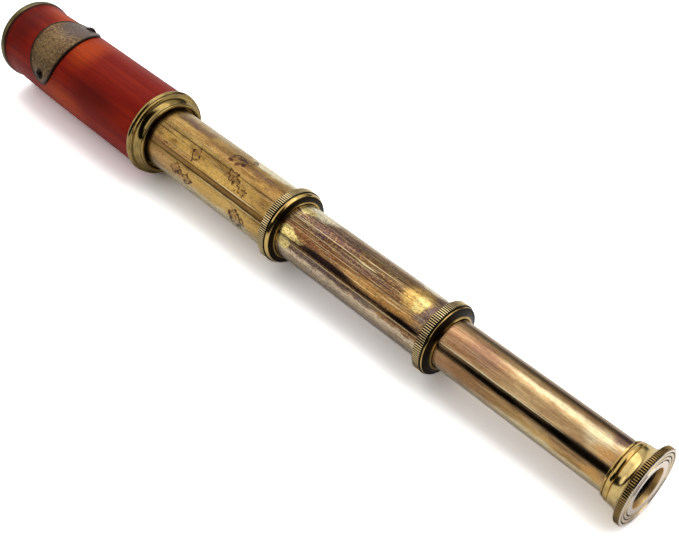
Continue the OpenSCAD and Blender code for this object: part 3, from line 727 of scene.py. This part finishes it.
def oval_outline(bm, across):
    """Flat ellipse, along X and across Y, as one face."""
    half_angle = radians(PLATE_HALF_ANGLE)
    turns = [asin(sin(a) * sin(half_angle)) / half_angle for a in sweep(-90, 90, OVAL_STEPS)]
    right = [(PLATE_HALF_WIDTH * sqrt(max(0, 1 - turn ** 2)), turn * across) for turn in turns]
    left = [(-x, y) for x, y in reversed(right[1:-1])]
    return bm.faces.new([bm.verts.new((x * MM, y * MM, 0)) for x, y in right + left])


def cut_across(bm, place, way):
    """Cuts every face of a bmesh along a plane, and keeps both sides."""
    bmesh.ops.bisect_plane(bm, geom=bm.verts[:] + bm.edges[:] + bm.faces[:], dist=1e-7,
                           plane_co=Vector(place) * MM, plane_no=way)


def barrel_plate():
    """The plate is made flat, cut into rows and columns, and then bent round the wood."""
    across = radians(PLATE_HALF_ANGLE) * (WOOD_R + PLATE_THICK)
    bm = bmesh.new()
    hollow = bm.verts.layers.float.new("hollow")
    top = oval_outline(bm, across)
    if top.normal.z < 0:
        top.normal_flip()
    for vert in top.verts:
        vert[hollow] = 1
    for width, rise, grime in PLATE_STEPS:
        bmesh.ops.inset_individual(bm, faces=[top], thickness=width * MM, depth=0,
                                   use_even_offset=True)
        bmesh.ops.translate(bm, verts=top.verts[:], vec=(0, 0, rise * MM))
        for vert in top.verts:
            vert[hollow] = grime
    walls = bmesh.ops.extrude_edge_only(bm, edges=[e for e in bm.edges if e.is_boundary])
    bmesh.ops.translate(bm, vec=(0, 0, -(PLATE_EDGE + PLATE_SUNK) * MM),
                        verts=[g for g in walls["geom"] if isinstance(g, bmesh.types.BMVert)])
    bmesh.ops.contextual_create(bm, geom=[e for e in bm.edges if e.is_boundary])
    for i in range(1 - PLATE_ROWS, PLATE_ROWS):
        cut_across(bm, (0, across * i / PLATE_ROWS, 0), (0, 1, 0))
    for i in range(1 - PLATE_COLUMNS, PLATE_COLUMNS):
        cut_across(bm, (PLATE_HALF_WIDTH * i / PLATE_COLUMNS, 0, 0), (1, 0, 0))
    for vert in bm.verts:
        x, y, z = vert.co / MM
        r = swell_r(PLATE_X + x) + PLATE_EDGE + z
        a = radians(PLATE_TURN) + y / (WOOD_R + PLATE_THICK)
        vert.co = Vector((PLATE_X + x, -r * sin(a), r * cos(a))) * MM
    bmesh.ops.recalc_face_normals(bm, faces=bm.faces[:])
    finished("barrel_plate_bent", bm, "barrel", "dark_brass", plate_brass(), "barrel_plate")


# Barrel: the two round-head screws of the plate

SCREW_ANGLE = 58
SCREW_HEAD_R = 2.8
SCREW_HEAD_HEIGHT = 1.4
SCREW_SLOT = 0.5
SLOT_DEPTH = 0.5
SLOT_TURN = 35
SHANK_R = 0.9
SHANK_LENGTH = 2.4
HEAD_BEVEL = 0.1
HEAD_UNDERSIDE = 0.05
HEAD_SUNK = 0.02
HEAD_STEPS = 10
SCREW_STEPS = 48


def screw(bm, turn):
    """Adds one screw: a domed head with a slot across it, and its shank in the wood. It is made
    along X, with its head towards +X, and then stood on the plate at its turn."""
    curve = (SCREW_HEAD_R ** 2 + SCREW_HEAD_HEIGHT ** 2) / (2 * SCREW_HEAD_HEIGHT)
    cap = [(SCREW_HEAD_HEIGHT - curve * (1 - cos(a)), curve * sin(a))
           for a in sweep(0, degrees(asin(SCREW_HEAD_R / curve)), HEAD_STEPS)]
    shank = [(-HEAD_UNDERSIDE, SHANK_R), (-SHANK_LENGTH, SHANK_R), (-SHANK_LENGTH, 0)]
    one = turned(cap + [(-HEAD_UNDERSIDE, SCREW_HEAD_R - HEAD_BEVEL)] + shank, SCREW_STEPS)
    for side in (-1, 1):
        cut_across(one, (0, side * SCREW_SLOT / 2, 0), (0, 1, 0))
    bmesh.ops.recalc_face_normals(one, faces=one.faces[:])
    # The slot is the strip of the dome between the two cuts, sunk into the head
    strip = [f for f in one.faces
             if f.normal.x > 0.5 and abs(f.calc_center_median().y) < SCREW_SLOT / 2 * MM]
    sunk = bmesh.ops.extrude_face_region(one, geom=strip)
    bmesh.ops.translate(one, vec=(-SLOT_DEPTH * MM, 0, 0),
                        verts=[g for g in sunk["geom"] if isinstance(g, bmesh.types.BMVert)])
    bmesh.ops.delete(one, geom=strip, context="FACES")
    seat = swell_r(PLATE_X + SCREW_HEAD_R) + PLATE_THICK - HEAD_SUNK
    place = (Matrix.Rotation(radians(turn), 4, "X")
             @ Matrix.Translation(Vector((PLATE_X, 0, seat)) * MM)
             @ Matrix.Rotation(radians(-90), 4, "Y") @ Matrix.Rotation(radians(SLOT_TURN), 4, "X"))
    bmesh.ops.transform(one, matrix=place, verts=one.verts[:])
    bmesh.ops.recalc_face_normals(one, faces=one.faces[:])
    mesh = meshed("screw", one)
    bm.from_mesh(mesh)
    bpy.data.meshes.remove(mesh)


def plate_screws():
    bm = bmesh.new()
    for side in (-1, 1):
        screw(bm, PLATE_TURN + side * SCREW_ANGLE)
    finished("plate_screws_slotted", bm, "barrel", "dark_brass", screw_brass(), "plate_screws")


# The three draws: their tubes, collars and the eyepiece

def draw_tube(i):
    node = DRAWS[i] + "_tube"
    start, end = station(node)
    r, bore, soft = DRAW_R[i], DRAW_R[i] - DRAW_WALL, 0.15
    outline = [(start, bore), (start, r - soft), (start + soft, r), (end - soft, r),
               (end, r - soft), (end, bore)]
    finished(DRAWS[i] + "_drawn_tube", turned(outline), DRAWS[i], "draw_tube_brass",
             drawn_brasses[i], node)


COLLAR_BAND = 4.3
COLLAR_SHOULDER = 2.5
MOUTH_GAP = 0.3
MOUTH_CHAMFER = 0.2
NOSE_STEP = 0.1


def collar(i, r, nose):
    """Knurled collar on draw i. Its nose is given as an outline, up to the cone at its mouth."""
    node = DRAWS[i] + "_collar"
    start, end = station(node)
    bore, mouth = DRAW_R[i] + SEAT_GAP, DRAW_R[i + 1] + MOUTH_GAP
    outline = (
        [(start, bore)] + knurled_edge(start, start + COLLAR_BAND, r) + nose
        + [(end, mouth + MOUTH_CHAMFER), (end - MOUTH_CHAMFER, mouth),
           (end - COLLAR_SHOULDER, mouth), (end - COLLAR_SHOULDER, bore)])
    # The corners of the nose are darkened: grime and painted shade
    bm = grimed_and_shaded(turned_with_teeth(outline, r, start, start + COLLAR_BAND), [nose[0], nose[-1]])
    finished(node + "_knurled", bm, DRAWS[i], "collar_brass", collar_brass, node)


def draw_1_collar():
    r = radius("draw_1_collar")
    start, end = station("draw_1_collar")
    nose_x, nose_r = start + COLLAR_BAND, r - KNURL_BEVEL - NOSE_STEP
    cone_depth, shoulder_drop = 0.8, 1.2
    collar(0, r, [
        (nose_x + (end - nose_x - cone_depth) * sin(a), nose_r - shoulder_drop * (1 - cos(a)))
        for a in sweep(0, 80, 16)])


def draw_2_collar():
    r = radius("draw_2_collar")
    nose_x, nose_r = station("draw_2_collar")[0] + COLLAR_BAND, r - KNURL_BEVEL - NOSE_STEP
    straight, edge = 0.5, 0.4
    collar(1, r, [(nose_x, nose_r), (nose_x + straight, nose_r)]
           + arc(nose_x + straight, nose_r - edge, edge, 75, 0, 6))


def eyepiece_ring():
    start, end = station("eyepiece_ring")
    r = radius("eyepiece_ring")
    bore = DRAW_R[2] + SEAT_GAP
    foot, thin, rim, soft = bore + 0.2, r - 0.6, 0.8, 0.2
    half = (end - start - rim) / 2
    bead = [(start + rim + half - half * cos(a), foot + (r - foot) * sin(a))
            for a in sweep(10, 170, 16)]
    outline = (
        [(start, bore)] + arc(start + soft, thin - soft, soft, 180, 90, 4)
        + arc(start + rim - soft, thin - soft, soft, 90, 0, 4) + [(start + rim, foot)]
        + bead + [(end, foot), (end, bore)])
    # The ring's inner corners are darkened: grime and painted shade
    bm = grimed_and_shaded(turned(outline), [(start + rim, foot), (end, foot)], 0.5)
    finished("eyepiece_ring_turned", bm, "draw_3", "collar_brass", collar_brass, "eyepiece_ring")


FLANGE_WIDTH = 2.8
NECK_HEIGHT = 1.8
NECK_LENGTH = 0.6
RECESS_R = 9
RECESS_DEPTH = 2.2
EYE_HOLE_R = 5.6
EYE_WEB = 1
RECESS_SOFT = 0.2
GROOVES = 3
GROOVE_R = 0.3
GROOVE_SUNK = 0.1
GROOVE_BEVEL = 0.05
GROOVE_INNER_LAND = 3.2
GROOVE_OUTER_LAND = 1.6

eye_brass = turned_brass("knurled_brass_eye_cup", colour("#DCC07C"), BROWN, share=0.4,
                         rough=0.12, tips=HONEY, face=station("eye_cup")[1], recess=RECESS_R)


def eye_cup():
    start, end = station("eye_cup")
    neck_x = station("eyepiece_ring")[1]
    r = radius("eye_cup")
    flange_x = end - FLANGE_WIDTH
    neck = DRAW_R[2] + NECK_HEIGHT
    flare_x, flare_r = neck_x + NECK_LENGTH, r - 1
    spigot, bore = DRAW_R[2] - DRAW_WALL - SEAT_GAP, radius("eye_tube") + SEAT_GAP
    recess_x = end - RECESS_DEPTH
    web_x = recess_x - EYE_WEB
    inmost, outmost = RECESS_R + GROOVE_INNER_LAND, r - GROOVE_OUTER_LAND
    grooves = [outmost + (inmost - outmost) * i / (GROOVES - 1) for i in range(GROOVES)]
    groove_x, beside = end - GROOVE_SUNK, GROOVE_R + GROOVE_BEVEL
    flare = [(flare_x + (flange_x - flare_x) * sin(a), neck + (flare_r - neck) * (1 - cos(a)))
             for a in sweep(0, 90, 24)[1:]]
    outline = (
        [(start, bore), (start, spigot), (neck_x, spigot), (neck_x, neck), (flare_x, neck)]
        + flare + knurled_edge(flange_x, end, r) + [(end, outmost + beside)]
        + [point for middle in grooves for point in arc(groove_x, middle, GROOVE_R, 90, 270, 10)]
        + [(end, inmost - beside)]
        + arc(end - RECESS_SOFT, RECESS_R + RECESS_SOFT, RECESS_SOFT, 0, -90, 3)
        + [(recess_x, RECESS_R), (recess_x, EYE_HOLE_R), (web_x, EYE_HOLE_R), (web_x, bore)])
    # The grooves of the face are darkened: grime and painted shade
    bm = grimed_and_shaded(turned_with_teeth(outline, r, flange_x, end),
                [(groove_x - GROOVE_R, middle) for middle in grooves], beside)
    finished("eye_cup_knurled", bm, "draw_3", "collar_brass", eye_brass, "eye_cup")


wood_sleeve()
objective_bezel()
crown_lens()
barrel_ferrule()
barrel_plate()
plate_screws()
for i in range(len(DRAWS)):
    draw_tube(i)
draw_1_collar()
draw_2_collar()
eyepiece_ring()
eye_cup()


# Inner pieces, which keep their own shapes

INNER_FINISHES = {
    barrel_tube_brass(): ("main_tube",),
    blackened_brass_paint(): (
        "lens_spacer", "objective_ring", "erector_tube", "erector_front_ring", "erector_stop",
        "erector_rear_ring", "eye_tube", "field_lens_ring", "field_stop", "eye_lens_ring"),
    bush_brass: (
        "barrel_bush", "draw_1_bush", "draw_2_bush", "draw_1_stop_ring", "draw_2_stop_ring",
        "draw_3_stop_ring"),
    lens_glass: (
        "flint_lens", "erector_front_lens", "erector_rear_lens", "field_lens", "eye_lens"),
}
for material, nodes in INNER_FINISHES.items():
    for node in nodes:
        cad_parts[node].data.materials.clear()
        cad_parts[node].data.materials.append(material)


# Floor: a white sheet that touches the bead of the ferrule and the flange of the eye cup

FLOOR_X = FERRULE_START + FERRULE_BEAD
FLANGE_X = station("eye_cup")[1] - FLANGE_WIDTH + KNURL_BEVEL
FLOOR_SLOPE = (FERRULE_R - radius("eye_cup")) / (FLANGE_X - FLOOR_X)
FLOOR_HALF = 3000

# The view is exposed for a white sheet, so it is whiter to the camera than what it reflects
SHEET = (0.95, 0.95, 0.95, 1)
SHEET_SEEN = (2.1, 2.1, 2.1, 1)


def floor():
    bm = bmesh.new()
    bmesh.ops.create_grid(bm, x_segments=1, y_segments=1, size=FLOOR_HALF * MM)
    for vert in bm.verts:
        vert.co.z = -FERRULE_R * MM + FLOOR_SLOPE * (vert.co.x - FLOOR_X * MM)
    mesh = meshed("floor", bm)
    material, tree, _ = begin_finish("white_paper")
    seen = add(tree, "LightPath").outputs["Is Camera Ray"]
    shown = layered(tree, SHEET, [(seen, SHEET_SEEN)])
    add(tree, "OutputMaterial", {"Surface": add(tree, "BsdfDiffuse", {"Color": shown})})
    mesh.materials.append(material)
    sheet = placed("floor", mesh)


floor()


# Light: two wide softboxes overhead, a pale backdrop on the far side and a dark room on the
# near side, with a window. Lengths of the light are in metres.

SOFTBOX_HEIGHT = 3.0

# Ways out from the object to the middles of the backdrop and the window
TO_BACKDROP = (-0.73, 0.69, 0)
TO_WINDOW = (-0.63, -0.71, 0.3)
WINDOW_LIGHT = (1.5, 1.5, 1.5, 1)


def softbox(name, x, y0, y1, length, strength):
    """Area light overhead, whose middle is at x, and which reaches from y0 to y1. Its power
    goes with its size, so that its strength says how bright it looks."""
    data = bpy.data.lights.new(name, "AREA")
    data.shape = "RECTANGLE"
    data.size, data.size_y = length, y1 - y0
    data.energy = strength * pi * length * (y1 - y0)
    lamp = placed(name, data)
    lamp.location = (x, (y0 + y1) / 2, SOFTBOX_HEIGHT)
    lamp.visible_camera = False


def towards(tree, way, middle, low, high):
    """Mask of the ways out that point close to one. Low and high are cosines."""
    close = add(tree, "VectorMath", {0: way, 1: middle}, operation="DOT_PRODUCT")
    return within(tree, close.outputs["Value"], low, high)


def room():
    world = bpy.data.worlds.new("room")
    world.use_nodes = True
    bpy.context.scene.world = world
    tree = world.node_tree
    tree.nodes.clear()
    way = add(tree, "TexCoord").outputs["Generated"]
    parts = add(tree, "SeparateXYZ", {0: way})
    far = within(tree, parts.outputs["Y"], -0.1, 0.25)
    above = add(tree, "Math", {0: far, 1: within(tree, parts.outputs["Z"], 0.2, 0.55)},
                operation="MULTIPLY")
    backdrop = towards(tree, way, TO_BACKDROP, 0.88, 0.98)
    window = towards(tree, way, TO_WINDOW, 0.96, 0.99)
    white = colour("#FFFFFF")
    seen = add(tree, "LightPath").outputs["Is Camera Ray"]
    shown = layered(tree, colour("#141414"), [
        (far, colour("#606060")), (above, colour("#F4F4F4")), (backdrop, white),
        (window, WINDOW_LIGHT), (seen, white)])
    add(tree, "OutputWorld", {"Surface": add(tree, "Background", {"Color": shown})})


softbox("far_softbox", x=-2.0, y0=0.0, y1=2.4, length=12, strength=1.25)
softbox("near_softbox", x=-3.9, y0=-4.8, y1=0.0, length=8.4, strength=1.1)
room()


# Camera, at the viewing angle of the photograph. Its place is in metres.

CAMERA_PLACE = Vector((0.4875, -0.2325, 0.3278))
CAMERA_LOOK = Vector((-0.5182, 0.4908, -0.7004))
CAMERA_LENS = 57.7
CAMERA_SENSOR = 36

camera_data = bpy.data.cameras.new("camera")
camera_data.lens = CAMERA_LENS
camera_data.sensor_width = CAMERA_SENSOR
camera = placed("camera", camera_data)
camera.location = CAMERA_PLACE
camera.rotation_euler = CAMERA_LOOK.to_track_quat("-Z", "Y").to_euler()
bpy.context.scene.camera = camera
bpy.context.scene.view_settings.view_transform = "Standard"
